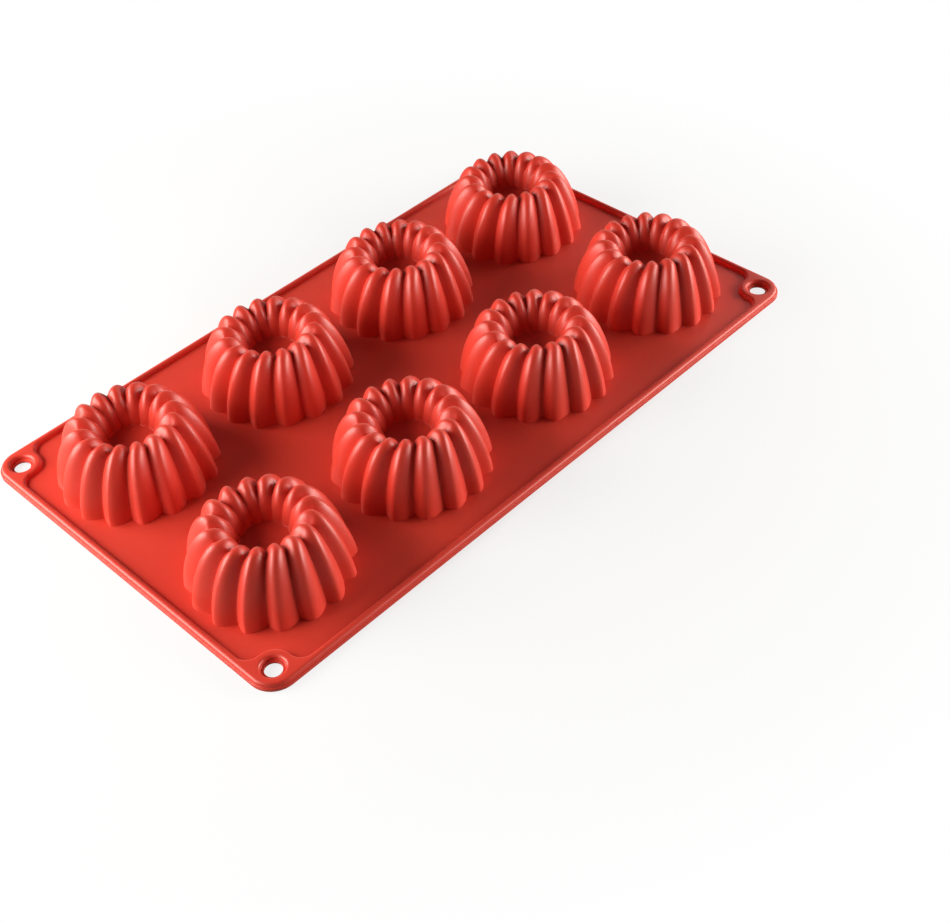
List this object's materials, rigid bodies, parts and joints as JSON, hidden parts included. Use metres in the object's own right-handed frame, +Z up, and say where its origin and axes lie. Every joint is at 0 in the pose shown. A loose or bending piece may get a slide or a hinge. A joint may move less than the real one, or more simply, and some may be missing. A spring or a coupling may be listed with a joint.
{
  "type": "silicone cake mould",
  "caption": "Flexible baking mould shown crowns up: a thin rimmed sheet with rows of fluted ring cups, corner eyelets for hanging and a fold line between the rows.",
  "frame": {"origin": "centre of the flat mouth face, which lies on the table", "axes": "+X along the rows of cups, +Y from the front row to the back row, +Z up towards the cups' crowns"},
  "size_m": [0.295, 0.172, 0.029],
  "materials": {
    "silicone": "satin, brick-red silicone"
  },
  "bodies": {
    "front_row": {"front_sheet": "silicone", "fold_strip": "silicone", "front_rim": "silicone", "left_rim_front": "silicone", "right_rim_front": "silicone", "corner_eyelet_front_left": "silicone", "corner_eyelet_front_right": "silicone", "cup_front_1": "silicone", "cup_front_2": "silicone", "cup_front_3": "silicone", "cup_front_4": "silicone"},
    "back_row": {"back_sheet": "silicone", "back_rim": "silicone", "left_rim_back": "silicone", "right_rim_back": "silicone", "corner_eyelet_back_left": "silicone", "corner_eyelet_back_right": "silicone", "cup_back_1": "silicone", "cup_back_2": "silicone", "cup_back_3": "silicone", "cup_back_4": "silicone"}
  },
  "joints": [
    {"name": "fold", "type": "hinge", "parent": "front_row", "child": "back_row", "pos_m": [0, 0, 0.00075], "axis": [1, 0, 0], "range_deg": [-120, 55], "stiffness_Nm_per_rad": 0.05, "deforming": ["fold_strip"]}
  ]
}
